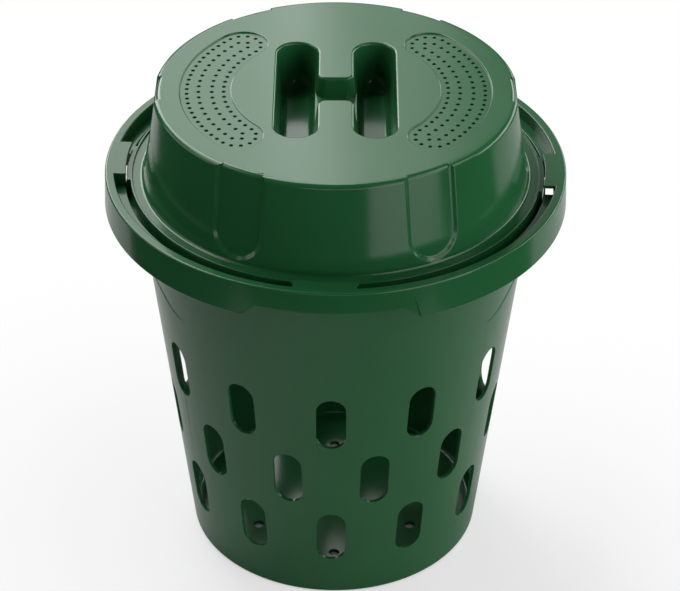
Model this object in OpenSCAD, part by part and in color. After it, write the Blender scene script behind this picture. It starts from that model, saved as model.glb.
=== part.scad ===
// Underground compost bin: a tapered bucket with slots in its wall, sunk in the
// ground up to its rim, and a deep lid that lifts off by the grip in its top.
// Both are mouldings of one green plastic. Z = 0 is the ground face of the base,
// and the front of the bin faces -Y.

/* [Bin] */
// Height of the bin to the top of its rim
bin_h = 300; // [270:1:340]
// Outer diameter of the base
base_d = 210; // [190:1:230]
// Outer diameter of the wall under the rim
neck_d = 275.6; // [268:0.2:280]
// Thickness of the wall
wall_t = 2.6; // [2:0.1:3.4]
// Thickness of the floor
floor_t = 3; // [2:0.1:5]
// Radius of the edge round the base
base_fillet = 2; // [1:0.5:4]
// Diameter of each drain hole in the floor
drain_d = 8; // [4:0.5:12]
// Diameter of the ring of drain holes
drain_ring_d = 130; // [80:1:160]
// Number of drain holes
drain_n = 12; // [6:1:18]

/* [Rim] */
// Outer diameter of the rim at its top
rim_d = 320; // [314:1:330]
// Width of the flat top of the rim
rim_w = 6.5; // [5.5:0.1:8]
// Thickness of the rim, its skirt and the floor of its groove
rim_t = 2.5; // [1.8:0.1:3]
// Height of the skirt that hangs from the rim
skirt_h = 24.5; // [20:0.5:32]
// How far the skirt flares out at its lower edge
skirt_flare = 1; // [0:0.1:2]
// Depth of the groove inside the rim
groove_h = 16; // [12:0.5:20]
// Radius of the outer edge of the rim
rim_fillet = 1.8; // [1:0.1:2.4]
// Width of the lifting notch in the skirt, front and back, at its top
notch_w = 97; // [70:1:120]
// How far each side of the notch spreads from its top to the skirt's edge
notch_spread = 11.5; // [4:0.5:14]
// Height of the lifting notch
notch_h = 9.5; // [6:0.5:11]
// Radius of the upper corners of the lifting notch
notch_r = 6; // [3:0.5:8]
// Turn of the two notches from the front and back
notch_turn = -1; // [-10:0.5:10]

/* [Tabs] */
// Width of each tab on the inside of the rim
tab_w = 42; // [25:1:60]
// How far each tab reaches in from the rim
tab_reach = 8.1; // [6:0.1:9]
// Thickness of each tab
tab_t = 2.8; // [2:0.1:4]
// Turn of the four tabs from the front, back, left and right
tab_turn = -2.5; // [-10:0.5:10]
// How far the hole under each tab reaches in past the tab
tab_hole_reach = 2.6; // [1:0.1:4]
// Thickness of the walls under the two ends of each tab
tab_end_t = 2.2; // [1.5:0.1:4]
// Height of the lower of the two end walls
tab_end_h = 6.5; // [3:0.5:9]

/* [Slots] */
// Width of each slot in the wall
slot_w = 20.5; // [12:0.5:24]
// Length of each slot
slot_l = 45; // [30:1:50]
// Height of the middle of the lowest row
slot_z = 56; // [45:1:70]
// Distance from one row to the next
slot_pitch = 55; // [40:1:60]
// Number of rows
slot_rows = 3; // [1:1:3]
// Slots in each row
slot_n = 12; // [8:1:14]
// Turn of the slots from the front
slot_turn = -1; // [-10:0.5:10]

/* [Wavy line] */
// Height of the middle of the wavy step in the wall
wave_z = 225; // [215:1:240]
// Rise of the wave above and below its middle
wave_h = 5.4; // [3:0.2:7]
// Waves round the wall
wave_n = 10; // [6:1:14]
// Depth of the step
wave_step = 0.5; // [0.3:0.1:0.9]

/* [Lid] */
// Height of the lid's top above the rim
lid_rise = 60; // [50:1:75]
// Diameter of the lid's top, measured to the corner of its edge
lid_top_d = 248.8; // [242:0.2:254]
// Thickness of the lid's wall
lid_wall = 2.5; // [1.8:0.1:3.2]
// Thickness of the lid's top
lid_top_t = 2.8; // [2.4:0.1:4]
// Radius of the edge round the lid's top
lid_fillet = 3.5; // [2:0.5:5]
// Depth of the lid's flange below the top of the rim
flange_drop = 5.3; // [4.5:0.1:7]
// Thickness of the flange, its foot and the ring that locates the lid
flange_t = 2.2; // [1.6:0.1:2.6]
// Width of the bead round the flange
bead_w = 1.7; // [1.2:0.1:2.5]
// Height of the bead round the flange
bead_h = 1.3; // [0.8:0.1:2]
// Depth to which the lid reaches into the bin below the groove's floor
locate_h = 8.5; // [4:0.5:14]
// Clearance of the lid inside the mouth of the bin
mouth_gap = 0.7; // [0.5:0.1:2]
// Clearance between the lid's catches and the tabs, and under its foot
catch_gap = 0.3; // [0.2:0.05:0.6]
// How far each catch stands out from the lid's foot
catch_reach = 2.4; // [1.5:0.1:3]
// Angle that each catch takes round the lid
catch_arc = 17.8; // [10:0.2:24]

/* [Flutes] */
// Number of flutes round the lid
flute_n = 6; // [4:1:8]
// Width of each flute
flute_w = 35.4; // [20:0.2:44]
// Depth of each flute
flute_depth = 2; // [1:0.1:3]
// Height of a flute's lower end above the flange
flute_rise = 3.3; // [3:0.1:8]

/* [Grip] */
// Width of each finger well at the top
well_w = 29; // [24:0.5:34]
// Length of each finger well
well_l = 129; // [110:1:134]
// Depth of each finger well
well_depth = 33; // [24:1:44]
// How far each side of a well closes in from its top to its floor
well_draft = 4.5; // [2:0.1:6]
// Radius of the curve from a well's floor up to each of its two ends
well_scoop = 13; // [4:1:18]
// Width of the bar between the two wells
bar_w = 25.2; // [22:0.2:30]
// Width of the channel across the bar
channel_w = 30.2; // [24:0.2:40]
// Depth of the channel
channel_depth = 15; // [8:1:22]
// Shift of the channel towards the back
channel_shift = 0.5; // [0:0.1:2]
// Radius of the bar's corners at the channel
bar_corner = 5.5; // [3:0.1:8]
// Chamfer round the rims of the wells
well_chamfer = 1.2; // [0.6:0.1:1.6]

/* [Vents] */
// Distance from the lid's edge to each vent panel
panel_edge = 17.8; // [12:0.1:20]
// Width of each vent panel
panel_w = 34.6; // [30:0.2:38]
// Angle between the centres of a panel's two round ends
panel_arc = 86; // [60:1:92]
// Depth of a panel below the lid's top
panel_depth = 1; // [0.4:0.1:1.2]
// Diameter of each vent hole
vent_d = 2.6; // [1.6:0.1:3]
// Distance from a panel's middle line to its outer loop of holes
vent_out = 12.6; // [11:0.1:14]
// Distance from a panel's middle line to its inner loop of holes
vent_in = 4.6; // [4:0.1:6]
// Holes in the inner row of each loop
row_in_n = 18; // [10:1:20]
// Holes in the outer row of the outer loop
row_out_n = 25; // [12:1:28]
// Holes in the outer row of the inner loop
row_mid_n = 20; // [10:1:24]
// Holes round each end of the outer loop
end_out_n = 5; // [3:1:6]
// Holes round each end of the inner loop
end_mid_n = 1; // [1:1:2]

/* [Hidden] */
$fn = 96;
plastic = "#2c5a38";
// Overlap of shapes that are joined, and reach of cuts past the face they open
over = 0.5;
// Small allowance that keeps a round end just inside the shape that it ends
hair = 0.01;

// Heights in the bin
ledge_z = bin_h - groove_h;
ledge_under_z = ledge_z - rim_t;
skirt_z = bin_h - skirt_h;
groove_fillet = 1.5;
mouth_fillet = 1;
neck_fillet = 2;
inner_fillet = 4;
wave_lap = 1.01;

// Radii in the rim
rim_r = rim_d / 2;
rim_in_r = rim_r - rim_w;
leg_r = rim_in_r + rim_t;
tab_in_r = rim_in_r - tab_reach;

// Radii and heights in the lid
lid_z = bin_h + lid_rise;
flange_z = bin_h - flange_drop;
foot_r = tab_in_r - catch_gap - catch_reach;
foot_z = ledge_z + catch_gap;
locate_z = ledge_z - locate_h;
locate_r = wall_r(locate_z) - wall_t - mouth_gap;
flange_fillet = 2.5;
bead_fillet = 0.6;
// How far the flange's form runs up into the lid's wall
flange_lap = 6;
flute_z = flange_z + flute_rise;

// The grip and the vent panels
well_x = (bar_w + well_w) / 2;
well_floor_z = lid_z - well_depth;
panel_r = lid_top_d / 2 - panel_edge - panel_w / 2;
panel_z = lid_z - panel_depth;

// Radius of the bin's outer wall at height z
function wall_r(z) = base_d / 2 + (neck_d - base_d) / 2 * z / ledge_under_z;

function unit(v) = v / norm(v);

// What lies between the corner p, whose sides run to a and b, and an arc of
// radius r that rounds it: taken from a corner, or added into one
module corner(p, a, b, r) {
    u = unit(a - p);
    v = unit(b - p);
    half = acos(u * v) / 2;
    middle = p + unit(u + v) * r / sin(half);
    t = r / tan(half);
    difference() {
        polygon([p - (u + v) * over, p + u * t - v * over, p + u * t,
                 middle, p + v * t, p + v * t - u * over]);
        translate(middle) circle(r = r + hair);
    }
}

// Puts a shape drawn in X and Z on the front, and extrudes it outwards from
// one distance to another
module outwards(near, far) {
    translate([0, -near, 0]) rotate([90, 0, 0]) linear_extrude(height = far - near) children();
}

// Upright slot, or the U-shaped foot of a flute if it runs up past its top
module slot_outline(w, l) {
    translate([-w / 2, w / 2]) square([w, l - w]);
    translate([0, w / 2]) circle(r = w / 2 - hair);
    translate([0, l - w / 2]) circle(r = w / 2 - hair);
}

// Bin

module bin_profile() {
    base = [base_d / 2, 0];
    neck = [neck_d / 2, ledge_under_z];
    rim_out = [rim_r, bin_h];
    rim_in = [rim_in_r, bin_h];
    groove = [rim_in_r, ledge_z];
    mouth = [wall_r(ledge_z) - wall_t, ledge_z];
    inside = [wall_r(floor_t) - wall_t, floor_t];
    skirt = [rim_r + skirt_flare, skirt_z];
    difference() {
        polygon([[0, 0], base, neck, [leg_r, ledge_under_z], [leg_r, bin_h - rim_t],
                 [rim_r - rim_t, bin_h - rim_t], skirt - [rim_t, 0], skirt,
                 rim_out, rim_in, groove, mouth, inside, [0, floor_t]]);
        corner(base, [0, 0], neck, base_fillet);
        corner(rim_out, rim_in, skirt, rim_fillet);
        corner(rim_in, groove, rim_out, mouth_fillet);
        corner(mouth, inside, groove, mouth_fillet);
    }
    corner(groove, rim_in, mouth, groove_fillet);
    corner(inside, [0, floor_t], mouth, inner_fillet);
    corner(neck, base, [leg_r, ledge_under_z], neck_fillet);
}

// Plan of a tab, or of a part of it: between two radii, and from left to right
module tab_plan(r_in, r_out, left, right) {
    intersection() {
        difference() {
            circle(r = r_out);
            circle(r = r_in);
        }
        translate([left, -r_out - over]) square([right - left, rim_r / 2]);
    }
}

module at_tabs() {
    for (i = [0:3]) rotate([0, 0, tab_turn + 90 * i]) children();
}

// The tabs, and the walls that run from the groove's floor up to one end of each,
// and part of the way up to the other end
module tabs() {
    half = tab_w / 2;
    low = ledge_z - over;
    at_tabs() {
        translate([0, 0, bin_h - tab_t]) linear_extrude(height = tab_t)
            tab_plan(tab_in_r, rim_in_r + over, -half, half);
        translate([0, 0, low]) linear_extrude(height = bin_h - tab_t + over - low)
            tab_plan(tab_in_r, rim_in_r + over, half - tab_end_t, half);
        translate([0, 0, low]) linear_extrude(height = tab_end_h + over)
            tab_plan(tab_in_r, rim_in_r + over, -half, tab_end_t - half);
    }
}

// Holes in the groove's floor under the tabs
module tab_holes() {
    half = tab_w / 2 - tab_end_t;
    translate([0, 0, ledge_under_z - over])
        at_tabs() linear_extrude(height = rim_t + groove_fillet + 2 * over)
            tab_plan(tab_in_r - tab_hole_reach, rim_in_r, -half, half);
}

module slots() {
    step = 360 / slot_n;
    for (row = [0:slot_rows - 1], i = [0:slot_n - 1])
        rotate([0, 0, slot_turn + step * (i + (row % 2) / 2)])
            translate([0, 0, slot_z + slot_pitch * row - slot_l / 2])
                outwards(base_d / 2 - wall_t - slot_w / 2, neck_d / 2 + over)
                    slot_outline(slot_w, slot_l, $fn = 48);
}

// Gaps under the front and back of the skirt, where fingers reach in
module notches() {
    low = skirt_z - over;
    high = skirt_z + notch_h;
    left = [-notch_w / 2, high];
    right = [notch_w / 2, high];
    foot = [notch_w / 2 + notch_spread, low];
    difference() {
        for (turn = [0, 180]) rotate([0, 0, turn + notch_turn])
            outwards(neck_d / 2, rim_r + 2 * skirt_flare + over)
                difference() {
                    polygon([[-foot.x, low], foot, right, left]);
                    corner(right, left, foot, notch_r);
                    corner(left, [-foot.x, low], right, notch_r);
                }
        translate([0, 0, low - over]) cylinder(r = leg_r + over, h = notch_h + 3 * over);
    }
}

// Thin layer of the outer wall between two heights
module wall_skin(z1, z2) {
    rotate_extrude() polygon([
        [wall_r(z1) - wave_step, z1], [wall_r(z1) + over, z1],
        [wall_r(z2) + over, z2], [wall_r(z2) - wave_step, z2]]);
}

// Cap of a circle of radius r, whose top is the crest of a wave; mirrored, a trough
module crest(r, low) {
    outwards(wall_r(wave_z) - 3 * wave_h, wall_r(wave_z) + 3 * wave_h) intersection() {
        translate([0, wave_h - r]) circle(r = r);
        translate([-r, low]) square([2 * r, wave_h + over - low]);
    }
}

// The wall above the wavy line is set back. The line is a chain of arcs, crest and
// trough, each wider than half a wave by wave_lap, so that it crosses the next one.
module wave() {
    chord = wall_r(wave_z) * sin(90 / wave_n) * wave_lap;
    r = (chord * chord + wave_h * wave_h) / (2 * wave_h);
    band = wave_h + 4 * over;
    difference() {
        wall_skin(wave_z - wave_h - 2 * over, ledge_under_z - neck_fillet - over);
        translate([0, 0, wave_z]) difference() {
            union() {
                rotate_extrude() translate([wall_r(wave_z) - 2 * wave_h, -band])
                    square([4 * wave_h, band]);
                for (i = [0:wave_n - 1]) rotate([0, 0, 360 / wave_n * i]) crest(r, -over);
            }
            for (i = [0:wave_n - 1]) rotate([0, 0, 360 / wave_n * (i + 0.5)])
                mirror([0, 0, 1]) crest(r, -wave_h / 2);
        }
    }
}

module drains() {
    translate([0, 0, -over]) for (i = [0:drain_n - 1])
        rotate([0, 0, 360 / drain_n * i]) translate([0, -drain_ring_d / 2, 0])
            cylinder(d = drain_d, h = floor_t + 2 * over, $fn = 32);
}

module bin() {
    color(plastic) {
        difference() {
            // Turned so that the seam of the revolved form lies between two tabs
            rotate([0, 0, tab_turn + 45]) rotate_extrude() bin_profile();
            tab_holes();
            slots();
            notches();
            wave();
            drains();
        }
        tabs();
    }
}

// Lid

// The lid's form up to height top, set in from its outer wall
module lid_form(inset, top) {
    foot = [locate_r - inset, flange_z - flange_t];
    edge = [lid_r(top) - inset, top];
    rotate_extrude() difference() {
        polygon([[0, foot.y], foot, edge, [0, top]]);
        corner(edge, foot, [0, top], lid_fillet);
    }
}

// Radius of the lid's outer wall at height z
function lid_r(z) = locate_r + (lid_top_d / 2 - locate_r) * (z - flange_z) / (lid_z - flange_z);

// Flange with its bead and foot, and the ring that goes into the bin
module flange() {
    under = flange_z - flange_t;
    wall = [lid_r(flange_z), flange_z];
    shelf = [foot_r - bead_w, flange_z];
    rotate_extrude() {
        difference() {
            polygon([[locate_r - flange_t, locate_z], [locate_r, locate_z], [locate_r, under],
                     [foot_r - flange_t, under], [foot_r - flange_t, foot_z], [foot_r, foot_z],
                     [foot_r, flange_z + bead_h], [foot_r - bead_w, flange_z + bead_h],
                     shelf, wall, [lid_r(flange_z + flange_lap), flange_z + flange_lap],
                     [locate_r - flange_t - over, flange_z + flange_lap]]);
            corner([foot_r, flange_z + bead_h], [foot_r - bead_w, flange_z + bead_h],
                   [foot_r, foot_z], bead_fillet);
        }
        corner(wall, shelf, [lid_r(lid_z), lid_z], flange_fillet);
    }
}

// Blocks on the foot that lie just inside the tabs
module catches() {
    at_tabs() rotate([0, 0, -90 - catch_arc / 2]) rotate_extrude(angle = catch_arc)
        translate([foot_r - 2 * over, foot_z])
            square([catch_reach + 2 * over, flange_z + bead_h - foot_z]);
}

module at_flutes() {
    for (i = [0:flute_n - 1]) rotate([0, 0, 360 / flute_n * (i + 0.5)]) children();
}

// What a flute takes away, or the wall behind it if grown by the wall's thickness
module flutes(grow, inset, top) {
    w = flute_w + 2 * grow;
    difference() {
        at_flutes() translate([0, 0, flute_z - grow])
            outwards(lid_top_d / 2 - 4 * flute_depth - 2 * lid_wall, rim_r)
                slot_outline(w, lid_rise + flange_drop + w);
        lid_form(inset, top);
    }
}

// Finger well with sloping sides, grown outwards by grow, from floor to top
module well(grow, floor_z, top_z) {
    draft = well_draft / well_depth;
    low = well_w / 2 + grow - draft * (lid_z - floor_z);
    high = well_w / 2 + grow - draft * (lid_z - top_z);
    run = well_l - well_w;
    translate([0, -run / 2, floor_z]) cylinder(r1 = low - hair, r2 = high - hair, h = top_z - floor_z);
    translate([0, run / 2, floor_z]) cylinder(r1 = low - hair, r2 = high - hair, h = top_z - floor_z);
    outwards(-run / 2, run / 2)
        polygon([[-low, floor_z], [low, floor_z], [high, top_z], [-high, top_z]]);
}

// Chamfer round a well's rim
module well_rim() {
    run = well_l - well_w;
    low = well_w / 2;
    high = low + well_chamfer + over;
    z1 = lid_z - well_chamfer;
    z2 = lid_z + over;
    for (y = [-run / 2, run / 2]) translate([0, y, z1])
        cylinder(r1 = low - hair, r2 = high - hair, h = z2 - z1);
    outwards(-run / 2, run / 2)
        polygon([[-low, z1], [low, z1], [high, z2], [-high, z2]]);
}

// End of the bar at the channel, with rounded corners and sloping sides
module bar_end() {
    draft = well_draft / well_depth * (channel_depth + over);
    x = bar_w / 2 - bar_corner;
    y = -channel_w / 2 - bar_corner;
    z = lid_z - channel_depth - over;
    h = channel_depth + 2 * over;
    high = bar_corner - draft * over / (channel_depth + over);
    for (side = [-x, x]) translate([side, y, z]) cylinder(r1 = bar_corner + draft, r2 = high, h = h);
    translate([-x, 0, z]) rotate([90, 0, 90]) linear_extrude(height = 2 * x)
        polygon([[y - over, 0], [y + bar_corner + draft, 0], [y + high, h], [y - over, h]]);
}

// Channel across the bar, between the two wells
module channel() {
    reach = bar_w / 2 + well_draft;
    length = channel_w + 2 * bar_corner;
    translate([0, channel_shift, 0]) difference() {
        translate([-reach, -length / 2, lid_z - channel_depth])
            cube([2 * reach, length, channel_depth + over]);
        bar_end();
        mirror([0, 1, 0]) bar_end();
    }
}

// Curve at both ends of a well's floor
module scoops() {
    end = [well_l / 2 - well_draft, well_floor_z];
    for (side = [0, 1]) mirror([0, side, 0]) translate([-well_w / 2, 0, 0])
        rotate([90, 0, 90]) linear_extrude(height = well_w)
            corner(end, [0, well_floor_z], [well_l / 2, lid_z], well_scoop);
}

// The two wells and the channel, as the space that fingers take
module grip() {
    for (x = [-well_x, well_x]) translate([x, 0, 0]) {
        difference() {
            well(0, well_floor_z, lid_z + over);
            scoops();
        }
        well_rim();
    }
    channel();
}

// The walls round the grip, under the lid's top
module grip_walls() {
    length = channel_w + 2 * lid_wall;
    for (x = [-well_x, well_x]) translate([x, 0, 0])
        well(lid_wall, well_floor_z - lid_wall, lid_z - lid_top_t + over);
    translate([-well_x, channel_shift - length / 2, lid_z - channel_depth - lid_wall])
        cube([2 * well_x, length, channel_depth]);
}

// Space inside the lid
module lid_hollow() {
    top = lid_z - lid_top_t;
    difference() {
        union() {
            lid_form(lid_wall, top);
            translate([0, 0, locate_z - over])
                cylinder(r = locate_r - flange_t, h = flange_z - locate_z);
        }
        flutes(lid_wall, flute_depth + lid_wall, top);
        grip_walls();
    }
}

// Round the ends of a panel, on the left or the right of the lid
module at_ends() {
    for (side = [-1, 1]) rotate([0, 0, side * panel_arc / 2]) translate([panel_r, 0, 0])
        scale([1, side, 1]) children();
}

module panel() {
    translate([0, 0, panel_z]) {
        rotate([0, 0, -panel_arc / 2]) rotate_extrude(angle = panel_arc)
            translate([panel_r - panel_w / 2, 0]) square([panel_w, panel_depth + over]);
        at_ends() cylinder(r = panel_w / 2 - hair, h = panel_depth + over);
    }
}

module vent() {
    translate([0, 0, lid_z - lid_top_t - over])
        cylinder(d = vent_d, h = lid_top_t + 2 * over, $fn = 16);
}

// Loop of holes at one distance from the panel's middle line: an inner row, an
// outer row of n_out, and n_end round each end
module vent_loop(offset, n_out, n_end) {
    for (i = [0:row_in_n - 1]) rotate([0, 0, panel_arc * (i / (row_in_n - 1) - 0.5)])
        translate([panel_r - offset, 0, 0]) vent();
    for (i = [0:n_out - 1]) rotate([0, 0, panel_arc * (i / (n_out - 1) - 0.5)])
        translate([panel_r + offset, 0, 0]) vent();
    at_ends() for (i = [1:n_end]) rotate([0, 0, 180 * i / (n_end + 1)])
        translate([offset, 0, 0]) vent();
}

module vents() {
    for (turn = [0, 180]) rotate([0, 0, turn]) {
        panel();
        vent_loop(vent_out, row_out_n, end_out_n);
        vent_loop(vent_in, row_mid_n, end_mid_n);
    }
}

module lid() {
    color(plastic) difference() {
        union() {
            difference() {
                lid_form(0, lid_z);
                flutes(0, flute_depth, lid_z);
            }
            flange();
            catches();
        }
        lid_hollow();
        grip();
        vents();
    }
}

bin();
lid();
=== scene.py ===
"""Underground compost bin: a slotted bucket and a deep vented lid, both moulded
in green polypropylene, on a plain pale floor. Shapes are worked out in
millimetres in the part's own frame and brought to metres as each is finished."""
import math

import bmesh
import bpy
from mathutils import Matrix, Vector


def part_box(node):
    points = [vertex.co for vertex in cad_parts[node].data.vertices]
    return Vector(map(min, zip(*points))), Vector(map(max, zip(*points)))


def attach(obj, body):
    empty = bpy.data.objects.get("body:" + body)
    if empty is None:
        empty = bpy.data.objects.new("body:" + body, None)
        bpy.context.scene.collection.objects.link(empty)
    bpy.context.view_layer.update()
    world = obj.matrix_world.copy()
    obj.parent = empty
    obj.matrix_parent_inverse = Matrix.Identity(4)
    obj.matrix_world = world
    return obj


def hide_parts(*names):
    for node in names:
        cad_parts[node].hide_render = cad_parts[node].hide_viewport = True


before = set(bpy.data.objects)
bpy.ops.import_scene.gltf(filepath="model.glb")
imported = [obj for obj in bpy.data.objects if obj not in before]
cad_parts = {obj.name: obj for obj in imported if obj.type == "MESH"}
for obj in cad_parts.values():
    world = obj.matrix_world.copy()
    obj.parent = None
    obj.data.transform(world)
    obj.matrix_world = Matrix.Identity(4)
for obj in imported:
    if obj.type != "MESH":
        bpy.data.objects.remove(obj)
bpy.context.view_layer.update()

MM = 0.001
SMOOTH_BELOW = 38  # degrees between faces that are shaded as one surface
ROUND_ABOVE = 35  # degrees between faces whose shared edge is rounded
EDGE_ROUND = 0.5

# Heights and radii that the frame gives
RIM_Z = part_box("bin")[1].z / MM
SKIRT_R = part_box("bin")[1].x / MM
LID_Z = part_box("lid")[1].z / MM
LOCATE_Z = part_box("lid")[0].z / MM

# Bin
BASE_R = 105
NECK_R = 137.8
LEDGE_Z = RIM_Z - 16
RIM_T = 2.5
LEDGE_UNDER_Z = LEDGE_Z - RIM_T
WALL = 2.6
FLOOR = 3
RIM_R = SKIRT_R - 1
RIM_IN_R = RIM_R - 6.5
LEG_R = RIM_IN_R + RIM_T
SKIRT_Z = RIM_Z - 24.5
TAB_IN_R = RIM_IN_R - 8.1
TAB_OUT_R = RIM_IN_R + 3.6
TAB_W = 42
TAB_T = 2.8
TAB_TURN = -2.5
TAB_END_T = 2.2
TAB_END_H = 7.0
STEP_H = 7.3
NOTCH_W = 97
NOTCH_SPREAD = 11.5
NOTCH_H = 9.5
NOTCH_TURN = -1
SLOT_W = 20.5
SLOT_L = 45
SLOT_Z = 56
SLOT_PITCH = 55
SLOT_ROWS = 3
SLOTS_ROUND = 12
SLOT_TURN = -1
DRAIN_R = 4
DRAIN_RING_R = 65
DRAINS = 12
WAVE_Z = 225
WAVE_H = 5.4
WAVES = 10
WAVE_STEP = 0.4
WAVE_SLOPE = 0.9
BIN_STEPS = 168

# How far from the axis a tool for the rim reaches, inside and outside it
REACH_IN = 120
REACH_OUT = 170

# Lid
LID_TOP_R = 124.4
LID_WALL = 2.5
LID_TOP_T = 2.8
LID_FILLET = 3.5
LID_TOP_RING = 6.4  # keeps the middle of the top flat beside the fillet
FLANGE_Z = RIM_Z - 5.3
FLANGE_T = 2.2
BEAD_H = 1.3
BEAD_W = 1.7
FOOT_R = 142.7
FOOT_Z = RIM_Z - 15.7
CATCH_R = 145.1
CATCH_ARC = 17.8
LOCATE_R = 133.8
FLUTES = 6
FLUTE_W = 35.4
FLUTE_DEPTH = 2
FLUTE_SLOPE = 2.4
FLUTE_Z = FLANGE_Z + 3.3
LID_STEPS = 180
LID_START = 1  # degrees, where its first facet begins

# Grip in the lid
WELL_X = 26.7
WELL_R = 14.5
WELL_RUN = 49
WELL_DEPTH = 33
WELL_DRAFT = 4.5 / WELL_DEPTH
WELL_SCOOP = 13
CHANNEL_LOW = -14.6
CHANNEL_HIGH = 14.3
CHANNEL_DEPTH = 15
BAR_CORNER = 5.5
WELL_FLOOR_R = 3
GRIP_EDGE = 1.9

# Vent panels in the lid
PANEL_R = 89.3
PANEL_HALF = 17.3
PANEL_ARC = 43
PANEL_DEPTH = 1
VENT_R = 1.4
VENT_OUT = 12.6
VENT_IN = 4.6


# Outlines

def rounded(corners, segments=5):
    """Closed outline of (x, y, radius) corners, those with a radius as arcs."""
    points = []
    for i, (x, y, radius) in enumerate(corners):
        here = Vector((x, y))
        if not radius:
            points.append(here)
            continue
        to_last = (Vector(corners[i - 1][:2]) - here).normalized()
        to_next = (Vector(corners[(i + 1) % len(corners)][:2]) - here).normalized()
        half = to_last.angle(to_next) / 2
        centre = here + (to_last + to_next).normalized() * radius / math.sin(half)
        start = here + to_last * radius / math.tan(half) - centre
        end = here + to_next * radius / math.tan(half) - centre
        turn = start.angle_signed(end)
        for k in range(segments + 1):
            points.append(centre + Matrix.Rotation(-turn * k / segments, 2) @ start)
    return points


def arc(x, y, radius, first, last, segments):
    """Points along an arc, with its angles in degrees."""
    angles = [math.radians(first + (last - first) * k / segments) for k in range(segments + 1)]
    return [(x + radius * math.cos(a), y + radius * math.sin(a)) for a in angles]


def stadium(half_run, radius, segments=10):
    """Upright slot centred on the origin, with ends of one radius."""
    return (arc(0, half_run, radius, 0, 180, segments)
            + arc(0, -half_run, radius, 180, 360, segments))


def at_height(outline, z):
    return [(x, y, z) for x, y in outline]


def standing(outline, y):
    """An outline drawn in X and Z, at one distance in Y."""
    return [(x, y, z) for x, z in outline]


# Making and joining meshes

def pick(*objects):
    bpy.ops.object.select_all(action="DESELECT")
    for o in objects:
        o.select_set(True)
    bpy.context.view_layer.objects.active = objects[0]


def edit(obj):
    pick(obj)
    bpy.ops.object.mode_set(mode="EDIT")
    return bmesh.from_edit_mesh(obj.data)


def leave(obj):
    bmesh.update_edit_mesh(obj.data)
    bpy.ops.object.mode_set(mode="OBJECT")


def face_outwards():
    bpy.ops.mesh.select_all(action="SELECT")
    bpy.ops.mesh.remove_doubles(threshold=1e-4)
    bpy.ops.mesh.normals_make_consistent(inside=False)


def grow(obj, move):
    """Extrudes the selected faces and moves each new corner to move(old place)."""
    bpy.ops.mesh.extrude_region_move()
    bm = bmesh.from_edit_mesh(obj.data)
    for v in [v for v in bm.verts if v.select]:
        v.co = move(v.co.copy())
    bmesh.update_edit_mesh(obj.data)


def loft(name, rings):
    """Closed solid through rings of equally many points, from a filled circle."""
    bpy.ops.mesh.primitive_circle_add(vertices=len(rings[0]), fill_type="NGON")
    obj = bpy.context.object
    obj.name = name
    for v, p in zip(obj.data.vertices, rings[0]):
        v.co = p
    edit(obj)
    bpy.ops.mesh.select_all(action="SELECT")
    for last, ring in zip(rings, rings[1:]):
        pairs = [(Vector(p), Vector(q)) for p, q in zip(last, ring)]
        grow(obj, lambda co, pairs=pairs: min(pairs, key=lambda pair: (pair[0] - co).length)[1])
    face_outwards()
    leave(obj)
    return obj


def revolve(name, outline, steps, start):
    """Solid spun from a closed outline of (radius, height) points."""
    bpy.ops.mesh.primitive_circle_add(vertices=len(outline), fill_type="NOTHING")
    obj = bpy.context.object
    obj.name = name
    a = math.radians(start)
    for v, (r, z) in zip(obj.data.vertices, outline):
        v.co = (r * math.cos(a), r * math.sin(a), z)
    edit(obj)
    bpy.ops.mesh.select_all(action="SELECT")
    bpy.ops.mesh.spin(steps=steps, angle=math.tau, center=(0, 0, 0), axis=(0, 0, 1))
    face_outwards()
    leave(obj)
    return obj


def block(name, low, high):
    size = Vector(high) - Vector(low)
    bpy.ops.mesh.primitive_cube_add(size=1, location=(Vector(low) + Vector(high)) / 2, scale=size)
    obj = bpy.context.object
    obj.name = name
    bpy.ops.object.transform_apply()
    return obj


def copied(obj, moves):
    """The shape copied and moved by each matrix, as one object."""
    copies = []
    for move in moves:
        copy = bpy.data.objects.new(obj.name, obj.data.copy())
        copy.data.transform(move)
        bpy.context.scene.collection.objects.link(copy)
        copies.append(copy)
    bpy.data.objects.remove(obj)
    pick(*copies)
    bpy.ops.object.join()
    return copies[0]


def turned(obj, degrees):
    """The shape copied to each angle about the axis, as one object."""
    return copied(obj, [Matrix.Rotation(math.radians(d), 4, "Z") for d in degrees])


def combine(obj, tool, operation):
    """Cuts, joins or intersects with a tool, which is used up."""
    cut = obj.modifiers.new(tool.name, "BOOLEAN")
    cut.object = tool
    cut.operation = operation
    cut.solver = "EXACT"
    pick(obj)
    bpy.ops.object.modifier_apply(modifier=cut.name)
    bpy.data.objects.remove(tool)
    return obj


def soften(obj, where):
    """Rounds the sharp edges whose two ends are where the test says."""
    edit(obj)
    bpy.ops.mesh.select_mode(type="EDGE")
    bpy.ops.mesh.select_all(action="DESELECT")
    bm = bmesh.from_edit_mesh(obj.data)
    for e in bm.edges:
        if len(e.link_faces) == 2 and e.calc_face_angle() > math.radians(ROUND_ABOVE):
            e.select = all(where(v.co) for v in e.verts)
    bmesh.update_edit_mesh(obj.data)
    bpy.ops.mesh.bevel(offset=EDGE_ROUND, segments=2, affect="EDGES", clamp_overlap=False)
    leave(obj)


def finish_piece(obj, body, node, material):
    """Smooth shading, metres, material, and the CAD body and node it stands for."""
    pick(obj)
    bpy.ops.object.shade_smooth_by_angle(angle=math.radians(SMOOTH_BELOW))
    normals = obj.modifiers.new("normals", "WEIGHTED_NORMAL")
    normals.keep_sharp = True
    bpy.ops.object.modifier_apply(modifier=normals.name)
    obj.scale = (MM, MM, MM)
    bpy.ops.object.transform_apply()
    obj.data.materials.clear()
    obj.data.materials.append(material)
    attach(obj, body)
    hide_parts(node)


def radius(co):
    return math.hypot(co.x, co.y)


# Bin

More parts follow.
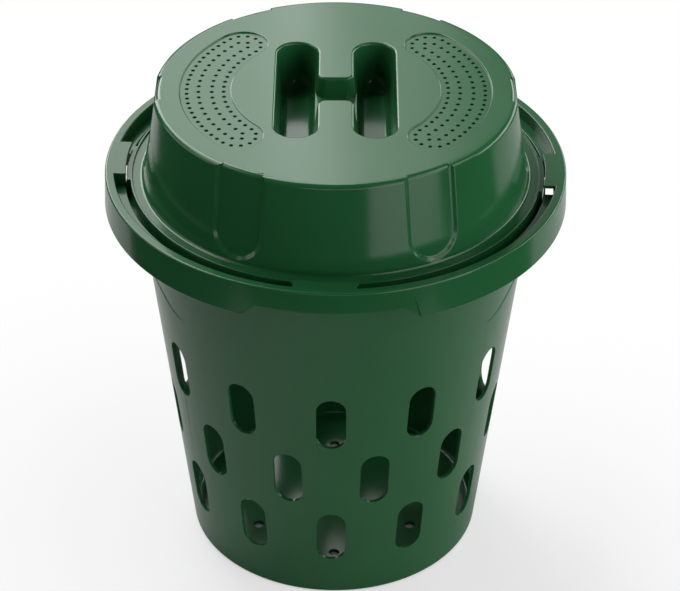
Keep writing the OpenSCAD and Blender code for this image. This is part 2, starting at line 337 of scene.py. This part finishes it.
def wall_r(z):
    return BASE_R + (NECK_R - BASE_R) * z / LEDGE_UNDER_Z


def bin_solid(name, corners):
    return revolve(name, rounded(corners), BIN_STEPS, SLOT_TURN - 90)


def bin_ring(name, near, far, low, high, corner=0):
    """A plain ring between two radii, its inner top edge rounded by corner."""
    return bin_solid(name, [(near, low, 0), (far, low, 0), (far, high, 0), (near, high, corner)])


def front_block(name, left, right, low, high):
    """A block through the front of the rim, between two places in X."""
    return block(name, (left, -REACH_OUT, low), (right, -REACH_IN, high))


def bucket():
    """The bin with its groove, rim and skirt, and the wavy step in its wall."""
    inner = RIM_R - RIM_T
    top = wall_r(WAVE_Z) - WAVE_STEP
    obj = bin_solid("bin_shell", [
        (0, 0, 0), (BASE_R, 0, 2), (wall_r(WAVE_Z), WAVE_Z, 0), (top, WAVE_Z + WAVE_SLOPE, 0),
        (NECK_R - WAVE_STEP, LEDGE_UNDER_Z, 2), (LEG_R, LEDGE_UNDER_Z, 0),
        (LEG_R, RIM_Z - RIM_T, 0.8), (inner, RIM_Z - RIM_T, 0.6),
        (SKIRT_R - RIM_T, SKIRT_Z, 0.5), (SKIRT_R, SKIRT_Z, 0.8), (RIM_R, RIM_Z, 1.4),
        (RIM_IN_R, RIM_Z, 1), (RIM_IN_R, LEDGE_Z, 1.5),
        (wall_r(LEDGE_Z) - WALL, LEDGE_Z, 1), (wall_r(FLOOR) - WALL, FLOOR, 4), (0, FLOOR, 0),
    ])
    for v in obj.data.vertices:
        if radius(v.co) > top - 0.1 and abs(v.co.z - WAVE_Z) < 1:
            rise = WAVE_H * math.cos(WAVES * (math.atan2(v.co.y, v.co.x) + math.pi / 2))
            wider = 1 + rise * (NECK_R - BASE_R) / LEDGE_UNDER_Z / radius(v.co)
            v.co = (v.co.x * wider, v.co.y * wider, v.co.z + rise)
    return obj


def slots():
    """Rows of slots, every other row turned by half a step."""
    outline = stadium(SLOT_L / 2 - SLOT_W / 2, SLOT_W / 2)
    inside, outside = -95, -145  # in Y, on the two sides of the wall
    step = 360 / SLOTS_ROUND
    rows = []
    for row in range(SLOT_ROWS):
        z = SLOT_Z + SLOT_PITCH * row
        level = [(x, y + z) for x, y in outline]
        slot = loft("slot", [standing(level, inside), standing(level, outside)])
        angles = [SLOT_TURN + step * (i + row % 2 / 2) for i in range(SLOTS_ROUND)]
        rows.append(turned(slot, angles))
    pick(*rows)
    bpy.ops.object.join()
    return rows[0]


def notches():
    """What the lifting notches take out of the skirt, front and back. Below the
    skirt's foot the tool widens, so that the notch's sides end in a curve."""
    low, foot, high = SKIRT_Z - 6, SKIRT_Z - 0.4, SKIRT_Z + NOTCH_H
    half = NOTCH_W / 2
    wide = half + NOTCH_SPREAD
    edge = wide + 12
    outline = rounded([
        (-edge, low, 0), (edge, low, 0), (edge, foot, 0), (wide, foot, 7), (half, high, 6),
        (-half, high, 6), (-wide, foot, 7), (-edge, foot, 0)])
    front = loft("notch", [standing(outline, -REACH_IN - 10), standing(outline, -REACH_OUT)])
    both = turned(front, [NOTCH_TURN, 180 + NOTCH_TURN])
    skirt = bin_ring("skirt_part", LEG_R + 0.8, REACH_OUT - 5, low - 1, high + 1)
    return combine(both, skirt, "INTERSECT")


def tab_angles():
    return [TAB_TURN + 90 * i for i in range(4)]


def tab_plan(shrink):
    """A tab seen from above, at the front, with small corner radii."""
    half = TAB_W / 2 - shrink
    r = TAB_IN_R + shrink
    edge = [(x, -math.sqrt(r * r - x * x)) for x in [half * k / 6 for k in range(-6, 7)]]
    inner = [(x, y, 1.2 if abs(x) == half else 0) for x, y in edge]
    return rounded([(half, -TAB_OUT_R, 0), *reversed(inner), (-half, -TAB_OUT_R, 0)], 3)


def tabs():
    low = RIM_Z - TAB_T
    rings = [(0.4, low), (0, low + 0.4), (0, RIM_Z - 0.5), (0.15, RIM_Z - 0.15),
             (0.5, RIM_Z + 0.01)]
    tab = loft("tab", [at_height(tab_plan(s), z) for s, z in rings])
    return turned(tab, tab_angles())


def tab_ends():
    """Walls under the two ends of each tab, one up to the tab and one lower,
    with an opening between it and the tab."""
    low, high = LEDGE_Z - 0.5, RIM_Z - 1.2
    ring = bin_ring("tab_end", TAB_IN_R + 0.2, RIM_IN_R + 0.5, low, high)
    end = TAB_W / 2 - 0.2
    start = TAB_W / 2 - TAB_END_T
    full = front_block("full", start, end, low - 1, high + 1)
    lower = front_block("lower", -end, -start, low - 1, LEDGE_Z + TAB_END_H)
    pick(full, lower)
    bpy.ops.object.join()
    return combine(ring, turned(full, tab_angles()), "INTERSECT")


def ledge_step():
    """The groove's raised floor between the tabs, outside the lid's foot."""
    low, high = LEDGE_Z - 0.4, LEDGE_Z + STEP_H
    ring = bin_ring("ledge_step", CATCH_R + 0.8, RIM_IN_R + 0.7, low, high, 0.6)
    half = TAB_W / 2 - TAB_END_T + 0.1
    gap = front_block("under_tab", -half, half, low - 1, high + 1)
    return combine(ring, turned(gap, tab_angles()), "DIFFERENCE")


def tab_holes():
    """Holes through the groove's floor, under the tabs."""
    low, high = LEDGE_UNDER_Z - 1, LEDGE_Z + 1.8
    ring = bin_ring("tab_hole", TAB_IN_R + 0.8, RIM_IN_R - 1.7, low, high)
    half = TAB_W / 2 - TAB_END_T - 0.05
    part = front_block("under_tab", -half, half, low - 1, high + 1)
    return combine(ring, turned(part, tab_angles()), "INTERSECT")


def drains():
    """Holes through the bin's floor."""
    bpy.ops.mesh.primitive_cylinder_add(vertices=24, radius=DRAIN_R, depth=4 * FLOOR,
                                        location=(0, -DRAIN_RING_R, 0))
    drain = bpy.context.object
    bpy.ops.object.transform_apply()
    return turned(drain, [360 / DRAINS * i for i in range(DRAINS)])


def bin_shell(material):
    obj = bucket()
    combine(obj, notches(), "DIFFERENCE")
    combine(obj, tab_holes(), "DIFFERENCE")
    combine(obj, tab_ends(), "UNION")
    combine(obj, ledge_step(), "UNION")
    combine(obj, tabs(), "UNION")
    combine(obj, drains(), "DIFFERENCE")
    combine(obj, slots(), "DIFFERENCE")
    low = SLOT_Z - SLOT_L
    high = SLOT_Z + SLOT_PITCH * (SLOT_ROWS - 1) + SLOT_L
    soften(obj, lambda co: low < co.z < high and radius(co) > wall_r(co.z) - 1)
    low, high = SKIRT_Z - 1, SKIRT_Z + NOTCH_H + 1
    soften(obj, lambda co: low < co.z < high and radius(co) > LEG_R + 1)
    finish_piece(obj, "bin", "bin", material)


# Lid

def lid_r(z):
    return LOCATE_R + (LID_TOP_R - LOCATE_R) * (z - FLANGE_Z) / (LID_Z - FLANGE_Z)


def lid_solid(name, corners):
    return revolve(name, rounded(corners), LID_STEPS, LID_START)


def lid_form():
    """The lid before its flutes, grip, panels and catches."""
    under = FLANGE_Z - FLANGE_T
    top = LID_Z - LID_TOP_T
    return lid_solid("lid_shell", [
        (0, top, 0), (lid_r(top) - LID_WALL, top, 2), (lid_r(FLANGE_Z) - LID_WALL, FLANGE_Z, 0),
        (LOCATE_R - FLANGE_T, LOCATE_Z, 0.5), (LOCATE_R, LOCATE_Z, 0.5), (LOCATE_R, under, 0.6),
        (FOOT_R - FLANGE_T, under, 0.6), (FOOT_R - FLANGE_T, FOOT_Z, 0.4), (FOOT_R, FOOT_Z, 0.5),
        (FOOT_R, FLANGE_Z + BEAD_H, 0.6), (FOOT_R - BEAD_W, FLANGE_Z + BEAD_H, 0.4),
        (FOOT_R - BEAD_W, FLANGE_Z, 0.3), (lid_r(FLANGE_Z), FLANGE_Z, 2.5),
        (LID_TOP_R, LID_Z, LID_FILLET), (LID_TOP_R - LID_TOP_RING, LID_Z, 0), (0, LID_Z, 0),
    ])


def flute_outline(wider, beyond):
    """A flute's outline on the lid's cone, grown by wider all round, at a
    distance beyond the lid's wall."""
    run = 40  # half its straight length, which puts its upper end above the lid
    middle = FLUTE_Z + FLUTE_W / 2
    places = [(x, z + middle + run) for x, z in stadium(run, FLUTE_W / 2 + wider, 16)]
    return [(x, -math.sqrt((lid_r(z) + beyond) ** 2 - x * x), z) for x, z in places]


def flute_prisms(rings):
    prism = loft("flute", [flute_outline(wider, beyond) for wider, beyond in rings])
    return turned(prism, [360 / FLUTES * (i + 0.5) for i in range(FLUTES)])


def flutes():
    """What the flutes take away: their sides slope from the floor outwards."""
    low, high = 280, LID_Z + 0.02  # from below the flange to just over the top
    inset = lid_solid("behind_flutes", [
        (0, low, 0), (lid_r(low) - FLUTE_DEPTH, low, 0),
        (lid_r(high) - FLUTE_DEPTH, high, LID_FILLET), (0, high, 0)])
    half = FLUTE_SLOPE / 2
    rings = [(-half - 0.9, -8), (-half - 0.9, -FLUTE_DEPTH - 0.02),
             (-half + 0.2, -FLUTE_DEPTH + 0.3), (half - 0.6, -0.45), (half + 0.2, -0.1),
             (half + 0.9, 0.3), (half + 1.5, 7)]
    return combine(flute_prisms(rings), inset, "DIFFERENCE")


def flute_backs():
    """Wall behind the flutes, inside the lid."""
    low, high = FLANGE_Z + 0.8, LID_Z - 1.5
    back = FLUTE_DEPTH + LID_WALL
    ring = lid_solid("flute_backs", [
        (lid_r(low) - back, low, 0), (lid_r(low) - 1, low, 0),
        (lid_r(high) - 1.5, high, 0), (lid_r(high) - back, high, 0)])
    return combine(ring, flute_prisms([(LID_WALL, -12), (LID_WALL, 4)]), "INTERSECT")


def grip_plan(depth, wider):
    """The grip seen from above at one depth: two wells and the channel, whose
    sides close in with depth, grown by wider for the rounding of its rim."""
    close = WELL_DRAFT * depth
    w = WELL_R - close + wider
    corner = BAR_CORNER + close - wider
    low, high = CHANNEL_LOW + close - wider, CHANNEL_HIGH - close + wider
    bar = WELL_X - w
    x = bar - corner
    return (
        arc(WELL_X, -WELL_RUN, w, 180, 360, 16) + arc(WELL_X, WELL_RUN, w, 0, 180, 16)
        + arc(x, high + corner, corner, 0, -90, 6) + arc(-x, high + corner, corner, -90, -180, 6)
        + arc(-WELL_X, WELL_RUN, w, 0, 180, 16) + arc(-WELL_X, -WELL_RUN, w, 180, 360, 16)
        + arc(-x, low - corner, corner, 180, 90, 6) + arc(x, low - corner, corner, 90, 0, 6)
    )


def grip():
    """The space of the grip from the channel's floor up."""
    rings = [at_height(grip_plan(d, 0), LID_Z - d) for d in (CHANNEL_DEPTH, GRIP_EDGE)]
    for k in range(1, 6):
        a = math.radians(17 * k)
        rings.append(at_height(grip_plan(GRIP_EDGE, GRIP_EDGE * (1 - math.cos(a))),
                               LID_Z - GRIP_EDGE * (1 - math.sin(a))))
    rings.append([(x, y, LID_Z + 1) for x, y, _ in rings[-1]])
    return loft("grip", rings)


def wells():
    """The two finger wells from just above the channel's floor down."""
    start = CHANNEL_DEPTH - 1
    steps = [(start, WELL_R - WELL_DRAFT * start - 0.02, WELL_RUN)] + well_rings()
    rings = [[(WELL_X + x, y, LID_Z - depth) for x, y in stadium(run, width, 18)]
             for depth, width, run in steps]
    return turned(loft("well", rings), [0, 180])


def well_rings():
    """Depth, half width and half run of a well below the channel: its sides end
    in a small fillet, and its ends sweep up in a larger curve."""
    tilt = math.atan(WELL_DRAFT)
    foot = WELL_RUN + WELL_R - WELL_DRAFT * WELL_DEPTH
    flat = foot - WELL_SCOOP / math.tan((math.pi / 2 + tilt) / 2)
    rings = []
    for k in range(9):
        a = tilt + (math.pi / 2 - tilt) * k / 8
        depth = WELL_DEPTH - WELL_SCOOP + WELL_SCOOP * math.sin(a)
        lower = max(depth - WELL_DEPTH + WELL_FLOOR_R, 0) / WELL_FLOOR_R
        fillet = WELL_FLOOR_R * (1 - math.sqrt(max(1 - lower * lower, 0)))
        width = WELL_R - WELL_DRAFT * depth - fillet
        rings.append((depth, width, flat + WELL_SCOOP * math.cos(a) - width))
    return rings


def grip_walls():
    """Solid walls round the wells and the channel, on the underside of the top."""
    low, high = LID_Z - WELL_DEPTH - LID_WALL, LID_Z - 1.2
    walls = []
    for x in (-WELL_X, WELL_X):
        rings = []
        for z in (low, high):
            w = WELL_R + LID_WALL - WELL_DRAFT * (LID_Z - z)
            rings.append([(x + px, py, z) for px, py in stadium(WELL_RUN, w, 16)])
        walls.append(loft("well_wall", rings))
    walls.append(block(
        "channel_wall",
        (-WELL_X, CHANNEL_LOW - LID_WALL, LID_Z - CHANNEL_DEPTH - LID_WALL),
        (WELL_X, CHANNEL_HIGH + LID_WALL, high - 0.1)))
    return walls


def panel_plan(wider):
    """A vent panel on the right of the lid: a curved slot with round ends."""
    a = math.radians(PANEL_ARC)
    ax, ay = PANEL_R * math.cos(a), PANEL_R * math.sin(a)
    end = PANEL_HALF + wider
    return (
        arc(0, 0, PANEL_R + end, -PANEL_ARC, PANEL_ARC, 36)
        + arc(ax, ay, end, PANEL_ARC, PANEL_ARC + 180, 14)[1:-1]
        + arc(0, 0, PANEL_R - end, PANEL_ARC, -PANEL_ARC, 24)
        + arc(ax, -ay, end, 180 - PANEL_ARC, 360 - PANEL_ARC, 14)[1:-1]
    )


def panels():
    """The two sunk panels that the vent holes are in."""
    low = LID_Z - PANEL_DEPTH
    rings = [(-0.5, low), (-0.1, low + 0.15), (0, low + 0.4), (0.05, LID_Z - 0.45),
             (0.2, LID_Z - 0.15), (0.5, LID_Z - 0.01), (0.5, LID_Z + 1)]
    panel = loft("panel", [at_height(panel_plan(w), z) for w, z in rings])
    return turned(panel, [0, 180])


def vent_places():
    """Middles of one panel's holes: two loops, each with a row inside and
    outside the panel's middle line and a few holes round each end."""
    places = []
    for offset, n_in, n_out, n_end in ((VENT_OUT, 18, 25, 5), (VENT_IN, 18, 20, 1)):
        places += arc(0, 0, PANEL_R - offset, -PANEL_ARC, PANEL_ARC, n_in - 1)
        places += arc(0, 0, PANEL_R + offset, -PANEL_ARC, PANEL_ARC, n_out - 1)
        for side in (-1, 1):
            a = math.radians(side * PANEL_ARC)
            round_end = arc(PANEL_R * math.cos(a), PANEL_R * math.sin(a), offset,
                            side * PANEL_ARC, side * (PANEL_ARC + 180), n_end + 1)
            places += round_end[1:-1]
    return places


def vents():
    """Holes through the panels' floor, each with a small chamfer."""
    floor_z = LID_Z - PANEL_DEPTH
    chamfer = 0.12
    wide = VENT_R + chamfer
    rings = [(VENT_R, floor_z - 6), (VENT_R, floor_z - chamfer), (wide, floor_z + 0.01),
             (wide, LID_Z + 1)]
    hole = loft("vent", [at_height(arc(0, 0, r, 0, 330, 11), z) for r, z in rings])
    return copied(hole, [Matrix.Translation((side * x, side * y, 0))
                         for x, y in vent_places() for side in (-1, 1)])


def catches():
    """Blocks on the foot of the lid, just inside the tabs."""
    def plan(shrink):
        half = CATCH_ARC / 2 - math.degrees(shrink / CATCH_R)
        return (arc(0, 0, FOOT_R - 1.2, -90 - half, -90 + half, 10)
                + arc(0, 0, CATCH_R - shrink, -90 + half, -90 - half, 10))
    top = FLANGE_Z + BEAD_H
    rings = [(0.3, FOOT_Z), (0, FOOT_Z + 0.3), (0, top - 0.5), (0.15, top - 0.15), (0.5, top)]
    catch = loft("catch", [at_height(plan(s), z) for s, z in rings])
    return turned(catch, tab_angles())


def lid_shell(material):
    obj = lid_form()
    combine(obj, flute_backs(), "UNION")
    for wall in grip_walls():
        combine(obj, wall, "UNION")
    combine(obj, flutes(), "DIFFERENCE")
    combine(obj, grip(), "DIFFERENCE")
    combine(obj, wells(), "DIFFERENCE")
    combine(obj, panels(), "DIFFERENCE")
    combine(obj, vents(), "DIFFERENCE")
    combine(obj, catches(), "UNION")
    finish_piece(obj, "lid", "lid", material)


# Materials

def linear(hex_colour):
    """An sRGB hex value as a linear colour."""
    parts = [int(hex_colour[i:i + 2], 16) / 255 for i in (1, 3, 5)]
    return [*(c / 12.92 if c <= 0.04045 else ((c + 0.055) / 1.055) ** 2.4 for c in parts), 1]


def add(tree, kind, settings=None, links=None):
    """A node with its settings and the sockets that feed it."""
    node = tree.nodes.new(kind)
    for name, value in (settings or {}).items():
        if name in node.inputs:
            node.inputs[name].default_value = value
        else:
            setattr(node, name, value)
    for name, socket in (links or {}).items():
        tree.links.new(socket, node.inputs[name])
    return node


def new_material(name):
    material = bpy.data.materials.new(name)
    material.use_nodes = True
    material.node_tree.nodes.clear()
    return material, material.node_tree


def moulded_polypropylene():
    """Green polypropylene from a polished mould: a satin gloss, a very fine
    grain, and a faint unevenness of colour and gloss where it cooled."""
    material, tree = new_material("moulded_polypropylene_green")
    place = add(tree, "ShaderNodeTexCoord").outputs["Object"]
    # Patches about 60 mm across, and grain about 0.8 mm, coarser than the real
    # one so that it shows
    patch = add(tree, "ShaderNodeTexNoise", {"Scale": 1 / 0.06, "Detail": 3.0}, {"Vector": place})
    grain = add(tree, "ShaderNodeTexNoise", {"Scale": 1 / 0.0008, "Detail": 2.0}, {"Vector": place})
    colour = add(tree, "ShaderNodeMix", {"data_type": "RGBA"}, {"Factor": patch.outputs["Fac"]})
    colour.inputs["A"].default_value = linear("#225D35")
    colour.inputs["B"].default_value = linear("#27653B")
    gloss = add(tree, "ShaderNodeMapRange", {"To Min": 0.14, "To Max": 0.19},
                {"Value": patch.outputs["Fac"]})
    bump = add(tree, "ShaderNodeBump", {"Strength": 0.05, "Distance": 0.0001},
               {"Height": grain.outputs["Fac"]})
    shader = add(tree, "ShaderNodeBsdfPrincipled", {"IOR": 1.49}, {
        "Base Color": colour.outputs["Result"], "Roughness": gloss.outputs["Result"],
        "Normal": bump.outputs["Normal"]})
    add(tree, "ShaderNodeOutputMaterial", None, {"Surface": shader.outputs["BSDF"]})
    return material


def pale_floor():
    """Matt board. Around the bin it partly glows white for the camera, more so
    towards its edge, and keeps a soft shadow."""
    material, tree = new_material("matt_white_board")
    place = add(tree, "ShaderNodeTexCoord").outputs["Object"]
    # Metres from the axis: it glows from the bin's foot on, and more from 0.2
    away = add(tree, "ShaderNodeVectorMath", {"operation": "LENGTH"}, {0: place})
    near = add(tree, "ShaderNodeMapRange", {"From Min": 0.100, "From Max": 0.106, "To Max": 0.6},
               {"Value": away.outputs["Value"]})
    far = add(tree, "ShaderNodeMapRange", {"From Min": 0.2, "From Max": 0.42, "To Max": 0.4},
              {"Value": away.outputs["Value"]})
    around = add(tree, "ShaderNodeMath", {"operation": "ADD"},
                 {0: near.outputs["Result"], 1: far.outputs["Result"]})
    seen = add(tree, "ShaderNodeLightPath").outputs["Is Camera Ray"]
    share = add(tree, "ShaderNodeMath", {"operation": "MULTIPLY"}, {0: seen, 1: around.outputs[0]})
    shade = add(tree, "ShaderNodeMix", {"data_type": "RGBA"}, {"Factor": seen})
    shade.inputs["A"].default_value = linear("#C0C0C0")
    shade.inputs["B"].default_value = linear("#F2F2F2")
    board = add(tree, "ShaderNodeBsdfDiffuse", None, {"Color": shade.outputs["Result"]})
    glow = add(tree, "ShaderNodeEmission", {"Color": (1, 1, 1, 1), "Strength": 1.0})
    mix = add(tree, "ShaderNodeMixShader", None, {
        0: share.outputs[0], 1: board.outputs["BSDF"], 2: glow.outputs["Emission"]})
    add(tree, "ShaderNodeOutputMaterial", None, {"Surface": mix.outputs["Shader"]})
    return material


# Stage

LAMP_AWAY = 2.3
LAMP_AIM = Vector((0, 0, 0.25))

# Name, azimuth, elevation, size and level
SOFTBOXES = [
    ("back_left", -150, 38, (0.9, 2.3), 5.4),
    ("back_1", -171.5, 44, (0.56, 2.0), 2.4),
    ("back_2", 179, 44, (0.26, 2.0), 1.3),
    ("back_3", 171, 44, (0.4, 2.0), 0.42),
    ("high", -112, 48, (1.3, 0.9), 2.6),
    ("back_right_low", 138, 16, (1.6, 0.8), 3.4),
    ("left", -80, 40, (1.1, 1.2), 1.1),
    ("left_low", -98, 12, (1.8, 0.8), 1.3),
    ("front", 0, 5, (1.6, 0.5), 1.6),
    ("front_right_low", 42, 12, (1.9, 0.85), 2.4),
    ("front_right", 50, 36, (1.5, 1.0), 1.3),
    ("below_front_right", 41, -11, (1.8, 0.6), 1.35),
    ("right", 80, 40, (1.2, 1.2), 1.9),
    ("right_low", 105, 12, (1.2, 0.85), 3.6),
]


def floor():
    """A board that ends in front of the bin and widens behind it. The bin's wall
    mirrors it, and the fronts of the skirt and the lid mirror the darker room."""
    bpy.ops.mesh.primitive_circle_add(vertices=8, fill_type="NGON")
    obj = bpy.context.object
    obj.name = "floor"
    corners = [(0.43, -0.5), (0.46, 0.05), (0.95, 0.22), (0.95, 1.3),
               (-0.6, 1.3), (-0.6, 0.22), (-0.46, 0.05), (-0.43, -0.5)]
    for v, (x, y) in zip(obj.data.vertices, corners):
        v.co = (x, y, 0)
    obj.data.materials.append(pale_floor())


def surroundings():
    """White for the camera and almost dark for all else, so that the softboxes
    light the bin."""
    world = bpy.data.worlds.new("studio")
    world.use_nodes = True
    tree = world.node_tree
    tree.nodes.clear()
    path = add(tree, "ShaderNodeLightPath")
    room = add(tree, "ShaderNodeBackground", {"Color": (1, 1, 1, 1), "Strength": 0.02})
    seen = add(tree, "ShaderNodeBackground", {"Color": (1, 1, 1, 1), "Strength": 1.0})
    mix = add(tree, "ShaderNodeMixShader", None, {
        0: path.outputs["Is Camera Ray"], 1: room.outputs["Background"],
        2: seen.outputs["Background"]})
    add(tree, "ShaderNodeOutputWorld", None, {"Surface": mix.outputs["Shader"]})
    bpy.context.scene.world = world


def softbox(name, azimuth, elevation, size, level):
    """A lamp turned to the bin's upper half. Azimuth 0 is the camera's side and
    grows to the right; level is the light per solid angle."""
    a, e = math.radians(azimuth), math.radians(elevation)
    way = Vector((math.sin(a) * math.cos(e), -math.cos(a) * math.cos(e), math.sin(e)))
    data = bpy.data.lights.new(name, "AREA")
    data.shape = "RECTANGLE"
    data.size, data.size_y = size
    data.energy = math.pi * size[0] * size[1] * level
    lamp = bpy.data.objects.new(name, data)
    lamp.location = LAMP_AIM + way * LAMP_AWAY
    lamp.rotation_euler = way.to_track_quat("Z", "Y").to_euler()
    bpy.context.scene.collection.objects.link(lamp)


def camera():
    """The photo's view, as fitted to the rim, the lid and the base."""
    data = bpy.data.cameras.new("camera")
    data.sensor_width = 36
    data.lens = 145.2
    cam = bpy.data.objects.new("camera", data)
    cam.location = (0.0035, -1.6184, 1.3097)
    cam.rotation_mode = "ZYX"
    cam.rotation_euler = (math.radians(90 - 34.72), 0, math.radians(0.3))
    bpy.context.scene.collection.objects.link(cam)
    bpy.context.scene.camera = cam


plastic = moulded_polypropylene()
bin_shell(plastic)
lid_shell(plastic)
floor()
surroundings()
for lamp in SOFTBOXES:
    softbox(*lamp)
camera()

scene = bpy.context.scene
scene.view_settings.view_transform = "Standard"
